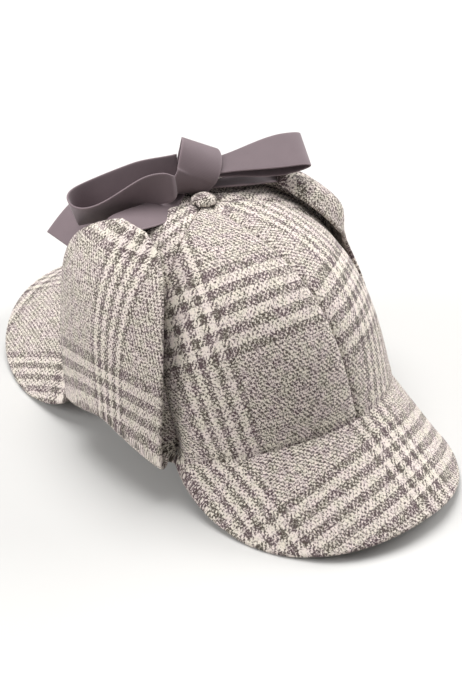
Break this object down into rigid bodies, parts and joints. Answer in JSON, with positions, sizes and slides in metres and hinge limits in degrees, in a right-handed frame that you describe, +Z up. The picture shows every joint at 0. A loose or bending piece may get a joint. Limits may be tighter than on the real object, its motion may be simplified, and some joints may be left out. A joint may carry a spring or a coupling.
{
  "type": "deerstalker hat",
  "caption": "Deerstalker hat of checked tweed: a round panelled crown with a covered button, a brim at front and back, and ear flaps folded up and tied over the top with a ribbon bow.",
  "frame": {"origin": "middle of the hat's footprint on the surface that it stands on", "axes": "+Z up, the wearer faces -Y, the wearer's right side is -X"},
  "size_m": [0.177, 0.3064, 0.1582],
  "materials": {
    "crown_tweed": "matte checked wool tweed",
    "button_tweed": "matte checked wool tweed, stretched over a button",
    "brim_tweed": "matte checked wool tweed, two layers stitched together",
    "flap_tweed": "matte checked wool tweed, two layers",
    "ribbon": "dull finely ribbed ribbon"
  },
  "bodies": {
    "root": {"crown_panel_front_right": "crown_tweed", "crown_panel_side_right": "crown_tweed", "crown_panel_back_right": "crown_tweed", "crown_panel_back_left": "crown_tweed", "crown_panel_side_left": "crown_tweed", "crown_panel_front_left": "crown_tweed", "crown_button": "button_tweed", "front_brim": "brim_tweed", "back_brim": "brim_tweed", "ear_flap_right": "flap_tweed", "ear_flap_left": "flap_tweed", "tie_ribbon_right": "ribbon", "tie_ribbon_left": "ribbon", "bow_knot": "ribbon", "bow_loop_right": "ribbon", "bow_loop_left": "ribbon", "bow_tail_right": "ribbon", "bow_tail_left": "ribbon"}
  },
  "joints": []
}
